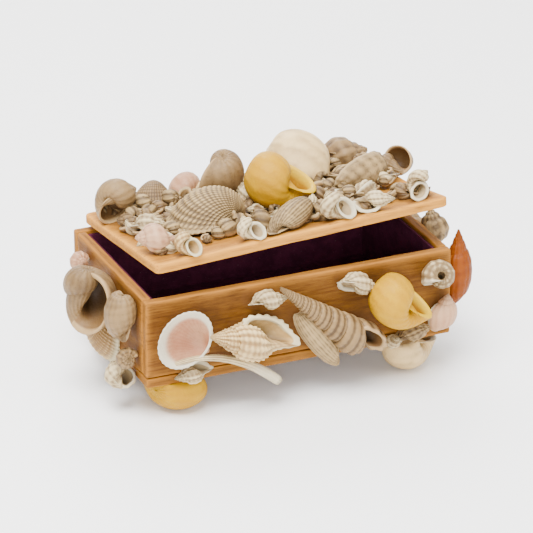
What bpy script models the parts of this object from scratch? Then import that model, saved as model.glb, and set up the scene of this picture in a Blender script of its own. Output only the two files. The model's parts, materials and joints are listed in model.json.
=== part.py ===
"""Shell box: a small keepsake box of thin boards, crusted with sea shells.

A box of five boards stands on four shells. Its lid is a sixth board, slightly
warped, held by a leather strip along the back top edge and standing ajar. Box
and lid are lined with velvet, and shells of many kinds are glued on every
outer face. Millimetre sizes are turned into metres with MM.

Box frame: X runs along the front edge to the right, Y to the back, Z up, with
the origin on the ground below the box's front left corner. At the end, one
empty carries everything so that the origin lies at the bottom centre of the
whole piece.
"""

import math

import bmesh
import bpy
from mathutils import Matrix, Vector
from mathutils.bvhtree import BVHTree

MM = 0.001

# Box body
BOX_LENGTH = 109.4 * MM
BOX_DEPTH = 65.5 * MM
BOX_HEIGHT = 30.6 * MM
BOARD = 3.3 * MM
BOARD_EDGE = 0.5 * MM
FOOT_HEIGHT = 11.9 * MM
JOINT_GAP = 0.3 * MM

# Lid
LID_LENGTH = 104.8 * MM
LID_DEPTH = 65.4 * MM
LID_THICKNESS = 3.3 * MM
LID_LEFT_INSET = 4.2 * MM
LID_CORNER = 3.5 * MM
LID_CORNER_SEGMENTS = 3
LID_SEAT = 1.5 * MM
LID_WARP = 6.1 * MM
LID_TILT = math.radians(6.5)
LID_CUTS_ALONG = 4
LID_CUTS_ACROSS = 3

# Velvet lining
VELVET = 0.8 * MM
LINING_BELOW_RIM = 1.2 * MM
LID_LINING_INSET = 4.8 * MM

# Leather hinge strip
LEATHER = 0.5 * MM
LEAF_HEIGHT = 9.0 * MM
LEAF_BELOW_RIM = 0.6 * MM
LEAF_END_INSET = 5.0 * MM

# Shells
GLUE_GAP = 0.3 * MM
LIFT_STEP = 0.25 * MM
LIFT_LIMIT = 25.0 * MM
GROUND_SPOT = 0.7 * MM

# Heights that follow from the sizes above
UNDERSIDE = FOOT_HEIGHT
RIM = UNDERSIDE + BOX_HEIGHT
FLOOR_TOP = UNDERSIDE + BOARD
HINGE_Y = BOX_DEPTH + JOINT_GAP
HINGE_Z = RIM + LID_SEAT / 2
LID_UNDERSIDE = LID_SEAT / 2

COLOURS = {
    "wood": ((0.56, 0.29, 0.12), 0.45),
    "velvet": ((0.05, 0.008, 0.03), 0.95),
    "leather": ((0.45, 0.25, 0.12), 0.6),
    "white": ((0.80, 0.76, 0.64), 0.45),
    "cream": ((0.78, 0.62, 0.40), 0.35),
    "grey": ((0.50, 0.43, 0.35), 0.5),
    "tan": ((0.50, 0.33, 0.18), 0.45),
    "yellow": ((0.78, 0.50, 0.12), 0.3),
    "pink": ((0.62, 0.26, 0.20), 0.35),
    "orange": ((0.60, 0.16, 0.03), 0.4),
}

# Coiled shells. The outline is share**spire * (1 - share)**base, with share
# running from 0 at the apex to 1 at the base. body is the share where the last
# seam ends, whorl the size ratio of one whorl to the next, seam the depth of
# the seam between them, mouth the depth of the opening in the side, dimple that
# of an opening at the base, ribs a count round the shell and rib their height,
# depths and heights being shares of the radius.
COILED = {
    "moon": dict(spire=0.55, base=0.40, body=0.33, whorl=0.42, seam=0.16, mouth=0.34,
                 dimple=0.0, ribs=0, rib=0.0, sides=11, rings=10),
    "button": dict(spire=0.55, base=0.30, body=0.40, whorl=0.50, seam=0.16, mouth=0.0,
                   dimple=0.45, ribs=0, rib=0.0, sides=10, rings=10),
    "whelk": dict(spire=0.95, base=0.50, body=0.50, whorl=0.58, seam=0.24, mouth=0.34,
                  dimple=0.0, ribs=5, rib=0.07, sides=10, rings=12),
    "great_whelk": dict(spire=0.80, base=0.52, body=0.42, whorl=0.60, seam=0.20, mouth=0.40,
                        dimple=0.0, ribs=7, rib=0.05, sides=14, rings=16),
    "turret": dict(spire=0.90, base=0.16, body=0.84, whorl=0.80, seam=0.30, mouth=0.24,
                   dimple=0.0, ribs=0, rib=0.0, sides=8, rings=28),
    "olive": dict(spire=0.80, base=0.45, body=0.30, whorl=0.40, seam=0.08, mouth=0.24,
                  dimple=0.0, ribs=0, rib=0.0, sides=10, rings=10),
    "blade": dict(spire=0.30, base=0.22, body=0.10, whorl=0.50, seam=0.0, mouth=0.10,
                  dimple=0.0, ribs=5, rib=0.03, sides=10, rings=10),
    "spindle": dict(spire=0.75, base=0.55, body=0.50, whorl=0.68, seam=0.18, mouth=0.20,
                    dimple=0.0, ribs=4, rib=0.05, sides=8, rings=12),
    "chip": dict(spire=0.70, base=0.40, body=0.45, whorl=0.58, seam=0.18, mouth=0.28,
                 dimple=0.0, ribs=4, rib=0.05, sides=8, rings=8),
}

# Rows of shells on each face: name, kind, colour, length and width in
# millimetres, place along the face and across it as shares of the face's own
# length and width, then in degrees the heading of the apex in the face, its
# rise out of the face and the roll about its own axis.
LID_SHELLS = [
    ("lid_big_cockle", "cockle", "grey", 29, 30, 0.253, 0.428, 45, 4, 0),
    ("lid_yellow_moon_snail", "moon", "yellow", 22, 20, 0.534, 0.443, 150, 15, -75),
    ("lid_cream_moon_snail", "moon", "cream", 23, 21, 0.687, 0.81, 140, 25, 160),
    ("lid_upright_snail", "moon", "grey", 20, 12, 0.406, 0.719, 100, 78, 150),
    ("lid_grey_olive", "olive", "grey", 25, 12.5, 0.83, 0.489, 25, 8, -90),
    ("lid_left_moon_snail", "moon", "tan", 17, 14.5, 0.057, 0.78, 130, 15, -60),
    ("lid_ribbed_blade", "blade", "grey", 23, 9.5, 0.482, 0.115, 34, 10, 60),
    ("lid_tan_cockle", "cockle", "tan", 13, 13, 0.196, 0.833, 60, 14, 0),
    ("lid_open_mouth_snail", "button", "white", 12, 12, 0.625, 0.054, 115, 12, 0),
    ("lid_pale_snail", "moon", "pink", 14, 12.5, 0.329, 0.925, 100, 20, 170),
    ("lid_brown_snail", "moon", "tan", 16, 13.5, 0.897, 0.917, 60, 20, 180),
    ("lid_dark_mouth_snail", "moon", "tan", 13, 11.5, 0.997, 0.612, 80, 20, -80),
    ("lid_grey_spindle", "spindle", "grey", 22, 7, 0.821, 0.65, 18, 8, 90),
    ("lid_ring_snail", "button", "white", 9.5, 9, 0.339, 0.046, 70, 15, 0),
    ("lid_white_whelk", "whelk", "white", 16, 9.5, 0.773, 0.229, 35, 6, -60),
    ("lid_front_whelk", "whelk", "white", 15, 8, 0.754, 0.031, -32, 0, 40),
    ("lid_corner_snail", "button", "white", 12, 8, 0.926, 0.099, 15, 8, 0),
    ("lid_knobby_whelk", "whelk", "white", 16, 9.5, 0.086, 0.413, -45, 4, 120),
    ("lid_pinkish_snail", "chip", "pink", 13.5, 10, 0.048, 0.183, 165, 3, 90),
    ("lid_cream_snail", "button", "cream", 10, 9, 0.124, 0.038, 40, 12, 0),
    ("lid_small_snail", "chip", "white", 11, 8, 0.525, 0.765, 60, 30, 180),
]

FRONT_SHELLS = [
    ("front_great_whelk", "great_whelk", "cream", 34, 16, 0.32, 0.51, 163, 3, 35),
    ("front_yellow_moon_snail", "moon", "yellow", 21, 20, 0.782, 0.67, 115, 20, -35),
    ("front_turret", "turret", "tan", 44, 13, 0.565, 0.605, 141.5, 0, -40),
    ("front_open_clam", "dish", "pink", 20, 21, 0.091, 0.641, -35, 0, 0),
    ("front_tusk", "tusk", "white", 40, 3.8, 0.233, 0.144, 162, 0, 0),
    ("front_ribbed_blade", "blade", "grey", 27, 8.5, 0.536, 0.294, 127, 0, 60),
    ("front_ring_snail", "button", "white", 12, 12, 0.935, 0.784, -60, -55, 0),
    ("front_rim_whelk", "whelk", "white", 13.5, 7, 0.375, 0.863, 0, 0, 60),
    ("front_knobby_whelk", "whelk", "white", 14, 8.5, 0.667, 0.843, -20, 0, 30),
    ("front_low_chip", "chip", "grey", 13, 7, 0.85, 0.114, 14, 0, 0),
    ("front_pink_snail", "moon", "pink", 14, 9.5, 0.96, 0.31, 80, 0, 160),
    ("front_small_whelk", "whelk", "white", 14, 8, 0.137, 0.137, 184, 0, 40),
]

LEFT_SHELLS = [
    ("left_open_mouth_snail", "button", "tan", 18, 18, 0.565, 0.768, 150, -35, 0),
    ("left_cowrie", "olive", "pink", 18, 12.5, 0.847, 0.719, 95, 0, 90),
    ("left_cream_clam", "cockle", "cream", 19, 20, 0.519, 0.147, 120, 0, 0),
    ("left_brown_snail", "chip", "tan", 9, 8, 0.908, 0.31, 30, 10, 90),
    ("left_white_snail", "chip", "white", 12, 10, 0.824, 0.049, 150, 0, 60),
    ("left_rim_chip", "chip", "pink", 10, 7.5, 0.244, 0.85, 20, 0, 90),
]

RIGHT_SHELLS = [
    ("right_orange_olive", "olive", "orange", 27, 10, 0.084, 0.686, 88, 0, 90),
    ("right_rim_snail", "chip", "grey", 14, 11, 0.366, 0.915, 70, 0, 120),
    ("right_cockle", "cockle", "cream", 19, 19, 0.397, 0.359, 90, 0, 0),
    ("right_moon_snail", "moon", "tan", 18, 15, 0.763, 0.49, 60, 10, 90),
]

BACK_SHELLS = [
    ("back_cockle", "cockle", "grey", 20, 21, 0.183, 0.294, 90, 0, 0),
    ("back_whelk", "whelk", "cream", 24, 13, 0.457, 0.327, 20, 0, 60),
    ("back_moon_snail", "moon", "cream", 18, 15, 0.768, 0.327, 110, 8, 40),
]

# Feet: name, colour, place along and across the underside as shares, heading.
FEET = [
    ("foot_front_left", "yellow", 0.119, 0.115, 200),
    ("foot_front_right", "cream", 0.878, 0.092, 150),
    ("foot_back_left", "cream", 0.11, 0.825, 70),
    ("foot_back_right", "tan", 0.887, 0.825, 20),
]
FOOT_WIDTH = 22.0 * MM
FOOT_SHAPE = dict(spire=0.50, base=0.36, body=0.33, whorl=0.42, seam=0.14, mouth=0.22,
                  dimple=0.0, ribs=0, rib=0.0, sides=12, rings=9)

# Form of every coiled shell
SEAM_FADE = 0.12
BULGE_POWER = 0.6
MOUTH_POWER = 0.5
EVEN_RINGS_FROM = 11
MOUTH_END = 0.97
MOUTH_HALF_ANGLE = 0.6
DIMPLE_START = 0.94

# Bivalves
COCKLE_FAN = math.radians(78)
COCKLE_COLUMNS = 14
COCKLE_ROWS = 4
COCKLE_DEPTH_SHARE = 0.40
COCKLE_BEAK_SHARE = 0.05
COCKLE_RIB = 0.07
FAN_ROUNDING = 0.45
FAN_LENGTH_SHARE = 0.96
FAN_WIDTH_SHARE = 0.58
DOME_LEAN = 0.7
DOME_FULLNESS = 0.75
CLAM_WALL = 1.2 * MM
CLAM_DEPTH = 4.0 * MM
TUSK_SAG_SHARE = 0.09
TUSK_POINTS = 10
TUSK_TAPER = 0.55
WELD = 0.01 * MM

UPRIGHT = 0.99
TOP_NORMAL = 0.5


def clear_scene():
    for item in list(bpy.data.objects):
        bpy.data.objects.remove(item, do_unlink=True)


def make_material(name):
    colour, roughness = COLOURS[name]
    material = bpy.data.materials.new(name)
    material.use_nodes = True
    shader = material.node_tree.nodes["Principled BSDF"]
    shader.inputs["Base Color"].default_value = (*colour, 1.0)
    shader.inputs["Roughness"].default_value = roughness
    return material


def is_closed(bm):
    return not any(edge.is_boundary for edge in bm.edges)


def add_object(name, bm, colour, parent, matrix=None):
    """Turn a bmesh into a named object under its parent."""
    bmesh.ops.recalc_face_normals(bm, faces=bm.faces)
    if is_closed(bm) and bm.calc_volume(signed=True) < 0:
        bmesh.ops.reverse_faces(bm, faces=bm.faces)
    mesh = bpy.data.meshes.new(name)
    bm.to_mesh(mesh)
    bm.free()
    mesh.materials.append(MATERIALS[colour])
    item = bpy.data.objects.new(name, mesh)
    COLLECTION.objects.link(item)
    item.parent = parent
    if matrix is not None:
        item.matrix_local = matrix
    return item


def add_bevel(item, width, segments=1):
    bevel = item.modifiers.new("rounded edges", "BEVEL")
    bevel.width = width
    bevel.segments = segments
    bevel.limit_method = "ANGLE"


def block(low, high):
    """A closed block between two corners."""
    bm = bmesh.new()
    bmesh.ops.create_cube(bm, size=1.0)
    size = Vector(high) - Vector(low)
    middle = (Vector(high) + Vector(low)) / 2
    for vert in bm.verts:
        vert.co = middle + Vector(a * b for a, b in zip(vert.co, size))
    return bm


def add_board(name, low, high):
    item = add_object(name, block(low, high), "wood", ROOT)
    add_bevel(item, BOARD_EDGE)
    return item


def add_box_boards():
    """Floor board, front and back boards on it, end boards between them."""
    wall_low = FLOOR_TOP + JOINT_GAP
    end_low = BOARD + JOINT_GAP
    end_high = BOX_DEPTH - BOARD - JOINT_GAP
    add_board("floor_board", (0, 0, UNDERSIDE), (BOX_LENGTH, BOX_DEPTH, FLOOR_TOP))
    add_board("front_board", (0, 0, wall_low), (BOX_LENGTH, BOARD, RIM))
    add_board("back_board", (0, BOX_DEPTH - BOARD, wall_low), (BOX_LENGTH, BOX_DEPTH, RIM))
    add_board("left_board", (0, end_low, wall_low), (BOARD, end_high, RIM))
    add_board("right_board", (BOX_LENGTH - BOARD, end_low, wall_low), (BOX_LENGTH, end_high, RIM))


def warp(along, from_hinge):
    """Height that the warp adds to the lid, largest at the front right corner."""
    return LID_WARP * (along / LID_LENGTH) * (from_hinge / LID_DEPTH)


def warp_bmesh(bm):
    for vert in bm.verts:
        vert.co.z += warp(vert.co.x - LID_LEFT_INSET, -vert.co.y)


def cut_evenly(bm, low, high):
    """Cross cuts, so that a flat panel can follow the warp."""
    for axis, count in ((0, LID_CUTS_ALONG), (1, LID_CUTS_ACROSS)):
        normal = Vector((0, 0, 0))
        normal[axis] = 1.0
        for index in range(1, count):
            place = Vector(low).lerp(Vector(high), index / count)
            geometry = bm.verts[:] + bm.edges[:] + bm.faces[:]
            bmesh.ops.bisect_plane(bm, geom=geometry, plane_co=place, plane_no=normal)


def upright_edges(bm):
    return [edge for edge in bm.edges
            if (edge.verts[0].co - edge.verts[1].co).normalized().z ** 2 > UPRIGHT]


def warped_panel(low, high, corner):
    bm = block(low, high)
    if corner:
        bmesh.ops.bevel(bm, geom=upright_edges(bm), offset=corner, segments=LID_CORNER_SEGMENTS,
                        profile=0.5, affect="EDGES")
    cut_evenly(bm, low, high)
    warp_bmesh(bm)
    return bm


def add_lid():
    """Lid board and its lining, in the frame of the hinge axis."""
    low = (LID_LEFT_INSET, -LID_DEPTH, LID_UNDERSIDE)
    high = (LID_LEFT_INSET + LID_LENGTH, 0, LID_UNDERSIDE + LID_THICKNESS)
    lid = add_object("lid_board", warped_panel(low, high, LID_CORNER), "wood", LID)
    add_bevel(lid, BOARD_EDGE)
    inset = LID_LINING_INSET
    top = LID_UNDERSIDE - JOINT_GAP
    lining_low = (low[0] + inset, -LID_DEPTH + inset, top - VELVET)
    lining_high = (high[0] - inset, -inset, top)
    add_object("lid_lining", warped_panel(lining_low, lining_high, 0), "velvet", LID)


def add_box_lining():
    """A tray of velvet, open above, against the floor and the four walls."""
    edge = BOARD + JOINT_GAP
    low = (edge, edge, FLOOR_TOP + JOINT_GAP)
    high = (BOX_LENGTH - edge, BOX_DEPTH - edge, RIM - LINING_BELOW_RIM)
    bm = block(low, high)
    top = [face for face in bm.faces if face.normal.z > TOP_NORMAL]
    bmesh.ops.delete(bm, geom=top, context="FACES_ONLY")
    lining = add_object("box_lining", bm, "velvet", ROOT)
    wall = lining.modifiers.new("velvet", "SOLIDIFY")
    wall.thickness = VELVET
    wall.offset = -1.0
    wall.use_even_offset = True


def add_hinge_strip(box_neighbours):
    """Two leaves of one leather strip, below and above the hinge axis."""
    left = LID_LEFT_INSET + LEAF_END_INSET
    right = LID_LEFT_INSET + LID_LENGTH - LEAF_END_INSET
    back = BOX_DEPTH + JOINT_GAP
    top = RIM - LEAF_BELOW_RIM
    lower = block((left, back, top - LEAF_HEIGHT), (right, back + LEATHER, top))
    box_neighbours.append(tree_of(lower, Matrix.Identity(4)))
    add_object("hinge_strip_lower", lower, "leather", ROOT)
    edge_top = LID_UNDERSIDE + LID_THICKNESS
    upper = block((left, JOINT_GAP, LID_UNDERSIDE), (right, JOINT_GAP + LEATHER, edge_top))
    add_object("hinge_strip_upper", upper, "leather", LID)


def outline(share, shape):
    return share ** shape["spire"] * (1 - share) ** shape["base"]


def seam_factor(share, around, shape):
    """Whorls bulge between seams that wind up to the apex."""
    fade = min(1.0, 1 - (share - shape["body"]) / SEAM_FADE)
    if share <= 0 or fade <= 0:
        return 1.0
    turn = (around / math.tau) % 1.0
    phase = math.log(share / shape["body"]) / math.log(shape["whorl"]) - turn
    bulge = math.sin(math.pi * (phase % 1.0)) ** BULGE_POWER
    return 1 - shape["seam"] * fade * (1 - bulge)


def mouth_factor(share, around, shape):
    """The opening is a hollow in the side of the last whorl, facing local +Z."""
    start = shape["body"]
    if share < start or share > MOUTH_END:
        return 1.0
    reach = math.sin(math.pi * (share - start) / (MOUTH_END - start)) ** MOUTH_POWER
    off = (around - math.pi / 2) / MOUTH_HALF_ANGLE
    return 1 - shape["mouth"] * reach * math.exp(-off * off)


def ring_share(z, shape):
    """Rings crowd towards both ends of a round shell, and are even on a long one."""
    share = min(max(0.5 - z, 0.0), 1.0)
    if shape["rings"] > EVEN_RINGS_FROM:
        share = math.acos(1 - 2 * share) / math.pi
    return share


def coiled_shell(length, width, shape):
    """A sphere drawn out along X, apex at +X, and shaped whorl by whorl."""
    bm = bmesh.new()
    bmesh.ops.create_uvsphere(bm, u_segments=shape["sides"], v_segments=shape["rings"], radius=0.5)
    widest = outline(shape["spire"] / (shape["spire"] + shape["base"]), shape)
    for vert in bm.verts:
        share = ring_share(vert.co.z, shape)
        around = math.atan2(vert.co.y, vert.co.x)
        radius = width / 2 * outline(share, shape) / widest
        radius *= seam_factor(share, around, shape) * mouth_factor(share, around, shape)
        radius *= 1 + shape["rib"] * math.cos(shape["ribs"] * around) * math.sin(math.pi * share)
        place = length * (0.5 - share)
        if share > DIMPLE_START:
            place += shape["dimple"] * length * (share - DIMPLE_START) / (1 - DIMPLE_START)
        vert.co = (place, radius * math.cos(around), radius * math.sin(around))
    return bm


def fan_surface(length, width, height_at):
    """A ribbed fan from the beak at +X to the rounded margin at -X."""
    bm = bmesh.new()
    bmesh.ops.create_grid(bm, x_segments=COCKLE_COLUMNS, y_segments=COCKLE_ROWS, size=1.0)
    for vert in bm.verts:
        across = vert.co.x
        out = (vert.co.y + 1) / 2
        angle = across * COCKLE_FAN
        column = round((across + 1) / 2 * COCKLE_COLUMNS)
        ridge = 1 - 2 * (column % 2)
        reach = out * math.cos(angle) ** FAN_ROUNDING * (1 + COCKLE_RIB / 2 * ridge * out)
        x = length / 2 - length * reach * math.cos(angle) * FAN_LENGTH_SHARE
        y = width * FAN_WIDTH_SHARE * reach * math.sin(angle) + across * COCKLE_BEAK_SHARE * width
        vert.co = (x, y, height_at(out, across) * (1 + COCKLE_RIB * ridge))
    return bm


def dome(out, across):
    """Height share of a valve: fullest near the beak, nothing along its margin."""
    profile = math.sin(math.pi * min(out, 1.0) ** DOME_LEAN) ** DOME_FULLNESS
    return profile * math.sqrt(1 - across * across)


def cockle(length, width):
    """One valve lying on its open side, which glue fills."""
    depth = width * COCKLE_DEPTH_SHARE

    def height_at(out, across):
        return depth * max(0.0, dome(out, across)) if 0 < out < 1 else 0.0

    bm = fan_surface(length, width, height_at)
    rim = [edge for edge in bm.edges if edge.is_boundary]
    bmesh.ops.holes_fill(bm, edges=rim, sides=len(rim))
    return bm


def open_clam(length, width):
    """One valve lying on its back, hollow side out, with a true wall."""

    def height_at(out, across):
        return CLAM_DEPTH * (1 - dome(out, across))

    bm = fan_surface(length, width, height_at)
    bmesh.ops.solidify(bm, geom=bm.faces[:], thickness=CLAM_WALL)
    return bm


def tusk(length, width):
    """A thin tapered tube with a gentle sag."""
    curve = bpy.data.curves.new("tusk", "CURVE")
    curve.dimensions = "3D"
    curve.bevel_depth = width / 2
    curve.bevel_resolution = 1
    curve.use_fill_caps = True
    spline = curve.splines.new("POLY")
    spline.points.add(TUSK_POINTS - 1)
    for index, point in enumerate(spline.points):
        share = index / (TUSK_POINTS - 1)
        sag = length * TUSK_SAG_SHARE * (1 - (2 * share - 1) ** 2)
        point.co = (length * (share - 0.5), -sag, 0, 1)
        point.radius = 1.0 - TUSK_TAPER * share
    carrier = bpy.data.objects.new("tusk", curve)
    COLLECTION.objects.link(carrier)
    graph = bpy.context.evaluated_depsgraph_get()
    mesh = bpy.data.meshes.new_from_object(carrier.evaluated_get(graph))
    bm = bmesh.new()
    bm.from_mesh(mesh)
    bmesh.ops.remove_doubles(bm, verts=bm.verts, dist=WELD)
    bpy.data.objects.remove(carrier, do_unlink=True)
    bpy.data.meshes.remove(mesh)
    return bm


def shell_shape(kind, length, width):
    if kind == "cockle":
        return cockle(length, width)
    if kind == "dish":
        return open_clam(length, width)
    if kind == "tusk":
        return tusk(length, width)
    return coiled_shell(length, width, COILED[kind])


def frame_of(origin, along, up):
    """A face's frame at a point: along, up, and outwards as the third axis."""
    along = Vector(along).normalized()
    out = along.cross(Vector(up)).normalized()
    up = out.cross(along)
    frame = Matrix((along, up, out)).transposed().to_4x4()
    frame.translation = Vector(origin)
    return frame


def lid_frame(u, v):
    """u runs from the lid's left edge to its right, v from its front to the hinge."""
    along = u * LID_LENGTH
    from_hinge = (1 - v) * LID_DEPTH
    height = LID_UNDERSIDE + LID_THICKNESS + warp(along, from_hinge)
    slope_along = (1, 0, warp(1.0, from_hinge))
    slope_across = (0, 1, -warp(along, 1.0))
    origin = (LID_LEFT_INSET + along, -from_hinge, height)
    return frame_of(origin, slope_along, slope_across)


def wall_frame(corner, along, run, u, v):
    """u runs along a wall from its corner, v from the underside to the rim."""
    origin = Vector(corner) + Vector(along) * run * u
    origin.z = UNDERSIDE + v * BOX_HEIGHT
    return frame_of(origin, along, (0, 0, 1))


def front_frame(u, v):
    return wall_frame((0, 0, 0), (1, 0, 0), BOX_LENGTH, u, v)


def back_frame(u, v):
    return wall_frame((BOX_LENGTH, BOX_DEPTH, 0), (-1, 0, 0), BOX_LENGTH, u, v)


def left_frame(u, v):
    return wall_frame((0, BOX_DEPTH, 0), (0, -1, 0), BOX_DEPTH, u, v)


def right_frame(u, v):
    return wall_frame((BOX_LENGTH, 0, 0), (0, 1, 0), BOX_DEPTH, u, v)


def turned(heading, rise, roll):
    """Apex along heading in the face, then raised out of it, rolled about itself."""
    return (Matrix.Rotation(math.radians(heading), 4, "Z")
            @ Matrix.Rotation(math.radians(-rise), 4, "Y")
            @ Matrix.Rotation(math.radians(roll), 4, "X"))


def tree_of(bm, matrix, swell=(1.0, 1.0, 1.0)):
    """A search tree of the shape at its place, swollen by a little clearance."""
    verts = [matrix @ (vert.co * Vector(swell)) for vert in bm.verts]
    faces = [[vert.index for vert in face.verts] for face in bm.faces]
    return BVHTree.FromPolygons(verts, faces)


def settle(bm, frame, turn, size, others):
    """Push a shell in until it lies on its board, then out past its neighbours."""
    lowest = min((turn @ vert.co).z for vert in bm.verts)
    height = GLUE_GAP - lowest
    swell = [1 + 2 * GLUE_GAP / extent for extent in size]
    lift = 0.0
    while lift < LIFT_LIMIT:
        place = frame @ Matrix.Translation((0, 0, height + lift)) @ turn
        tree = tree_of(bm, place, swell)
        if not any(tree.overlap(other) for other in others):
            break
        lift += LIFT_STEP
    others.append(tree_of(bm, place))
    return place, lift


def glue_shells(rows, frame_at, parent, others):
    """Glue a face's shells on in order, each one clear of those before it."""
    for name, kind, colour, length, width, u, v, heading, rise, roll in rows:
        bm = shell_shape(kind, length * MM, width * MM)
        bm.verts.index_update()
        turn = turned(heading, rise, roll)
        extents = (length * MM, width * MM, width * MM)
        place, lift = settle(bm, frame_at(u, v), turn, extents, others)
        add_object(name, bm, colour, parent, place)
        print(f"{name}: lifted {lift / MM:.2f} mm")


def add_feet(others):
    """Low snails, apex down, each ground flat where it stands."""
    height = FOOT_HEIGHT - GLUE_GAP
    for name, colour, along, across, heading in FEET:
        x = along * BOX_LENGTH
        y = across * BOX_DEPTH
        bm = coiled_shell(height + GROUND_SPOT, FOOT_WIDTH, FOOT_SHAPE)
        stand = (Matrix.Translation((x, y, (height - GROUND_SPOT) / 2))
                 @ Matrix.Rotation(math.radians(heading), 4, "Z")
                 @ Matrix.Rotation(math.radians(90), 4, "Y"))
        bmesh.ops.transform(bm, matrix=stand, verts=bm.verts)
        geometry = bm.verts[:] + bm.edges[:] + bm.faces[:]
        bmesh.ops.bisect_plane(bm, geom=geometry, plane_co=(0, 0, 0), plane_no=(0, 0, -1),
                               clear_outer=True)
        rim = [edge for edge in bm.edges if edge.is_boundary]
        bmesh.ops.holes_fill(bm, edges=rim, sides=len(rim))
        bm.verts.index_update()
        others.append(tree_of(bm, Matrix.Identity(4)))
        add_object(name, bm, colour, ROOT)


def set_origin():
    """Shift everything so that the origin is at the bottom centre of its box."""
    bpy.context.view_layer.update()
    graph = bpy.context.evaluated_depsgraph_get()
    low = Vector((math.inf,) * 3)
    high = Vector((-math.inf,) * 3)
    for item in COLLECTION.objects:
        if item.type != "MESH":
            continue
        shown = item.evaluated_get(graph)
        for vert in shown.data.vertices:
            point = item.matrix_world @ vert.co
            low = Vector(map(min, low, point))
            high = Vector(map(max, high, point))
    ROOT.location = (-(low.x + high.x) / 2, -(low.y + high.y) / 2, -low.z)
    bpy.context.view_layer.update()
    return high - low


def add_empty(name, parent=None, location=(0, 0, 0), turn=(0, 0, 0)):
    empty = bpy.data.objects.new(name, None)
    empty.empty_display_size = 0.02
    COLLECTION.objects.link(empty)
    empty.parent = parent
    empty.location = location
    empty.rotation_euler = turn
    return empty


clear_scene()
COLLECTION = bpy.data.collections.new("shell_box")
bpy.context.scene.collection.children.link(COLLECTION)
MATERIALS = {name: make_material(name) for name in COLOURS}
ROOT = add_empty("shell_box")
LID = add_empty("lid_hinge", ROOT, (0, HINGE_Y, HINGE_Z), (-LID_TILT, 0, 0))

add_box_boards()
add_box_lining()
add_lid()
box_neighbours = []
add_hinge_strip(box_neighbours)
add_feet(box_neighbours)
glue_shells(FRONT_SHELLS, front_frame, ROOT, box_neighbours)
glue_shells(LEFT_SHELLS, left_frame, ROOT, box_neighbours)
glue_shells(RIGHT_SHELLS, right_frame, ROOT, box_neighbours)
glue_shells(BACK_SHELLS, back_frame, ROOT, box_neighbours)
glue_shells(LID_SHELLS, lid_frame, LID, [])

size = set_origin()
print("size in mm:", [round(value / MM, 1) for value in size])
print("origin shift in mm:", [round(value / MM, 2) for value in ROOT.location])
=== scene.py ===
# %% [markdown]
# # A shell box
# A small keepsake box of thin boards stands on four sea snails. Its lid is
# warped and rests ajar on a leather strip, velvet lines the inside, and some
# fifty shells are glued over the outside.
# This lesson dresses the measured solids of the box with the shapes and
# finishes of the real thing. We load the solids first, because each piece
# takes its place and size from one of them.

import json
import math

import bpy
import numpy as np
from mathutils import Matrix, Vector, noise
from mathutils.bvhtree import BVHTree


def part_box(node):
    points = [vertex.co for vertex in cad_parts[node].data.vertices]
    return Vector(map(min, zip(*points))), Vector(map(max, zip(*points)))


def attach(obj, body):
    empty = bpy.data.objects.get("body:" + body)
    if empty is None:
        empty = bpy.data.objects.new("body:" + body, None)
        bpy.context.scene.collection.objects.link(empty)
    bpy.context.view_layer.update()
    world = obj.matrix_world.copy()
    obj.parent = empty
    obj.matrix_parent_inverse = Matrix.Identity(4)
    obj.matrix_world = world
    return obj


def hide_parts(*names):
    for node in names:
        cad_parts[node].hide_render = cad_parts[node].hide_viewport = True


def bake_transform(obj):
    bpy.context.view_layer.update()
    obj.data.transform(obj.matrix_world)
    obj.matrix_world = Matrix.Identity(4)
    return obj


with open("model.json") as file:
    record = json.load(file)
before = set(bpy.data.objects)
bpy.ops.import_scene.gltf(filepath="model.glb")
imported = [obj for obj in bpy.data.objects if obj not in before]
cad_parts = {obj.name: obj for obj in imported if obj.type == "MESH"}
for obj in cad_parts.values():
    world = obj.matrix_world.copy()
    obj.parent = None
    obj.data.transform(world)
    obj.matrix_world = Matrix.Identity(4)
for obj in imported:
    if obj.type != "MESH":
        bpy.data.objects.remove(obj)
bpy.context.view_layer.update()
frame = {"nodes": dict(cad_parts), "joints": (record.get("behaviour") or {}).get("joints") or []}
NODES = frame["nodes"]
MM = 0.001


def put_in_scene(name, data):
    """Make an object of a mesh, a lamp or a camera, and link it to the scene."""
    thing = bpy.data.objects.new(name, data)
    bpy.context.scene.collection.objects.link(thing)
    return thing

# %% [markdown]
# The camera stands where the photographer stood: about 1.3 m away, looking
# down at 24 degrees and along the box at 23 degrees. We keep that place and
# that direction, since they decide which sides are seen and how lines run
# together, and use a longer lens so that the small box fills the picture.

# %% Camera
BOX_CORNER = Vector((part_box("floor_board")[0].x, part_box("floor_board")[0].y, 0))
CAMERA_PLACE = BOX_CORNER + Vector((-445.486, -1128.572, 603.367)) * MM
CAMERA_TURN = (math.radians(90 - 24.302), 0, math.radians(-23.38))
SENSOR = 36
PHOTO_LENS = 93.2
CLOSER = 3.0

camera_data = bpy.data.cameras.new("camera")
camera_data.sensor_width = SENSOR
camera_data.lens = PHOTO_LENS * CLOSER
camera = put_in_scene("camera", camera_data)
camera.location = CAMERA_PLACE
camera.rotation_euler = CAMERA_TURN
bpy.context.scene.camera = camera
print("camera at", [round(v, 3) for v in CAMERA_PLACE])

# %% [markdown]
# Soft studio light comes from large, near lamps, because a wide lamp gives
# soft-edged shadows. The strongest hangs over the box to the left. Weaker ones
# fill from the right, look in under the lid from the front, and light the back,
# and a bright surrounding keeps the shadows open.

# %% Lights: name, place and side in metres, watts
LAMPS = [
    ("key_light", (-0.35, -0.35, 1.3), 0.9, 62.0),
    ("fill_light", (0.9, -0.9, 0.7), 0.9, 7.0),
    ("front_light", (-0.5, -1.3, 0.5), 0.4, 10.0),
    ("back_light", (0.2, 1.0, 0.9), 0.8, 18.0),
]
AIM = Vector((0, 0, 0.035))
SURROUNDING = 0.95


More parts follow.
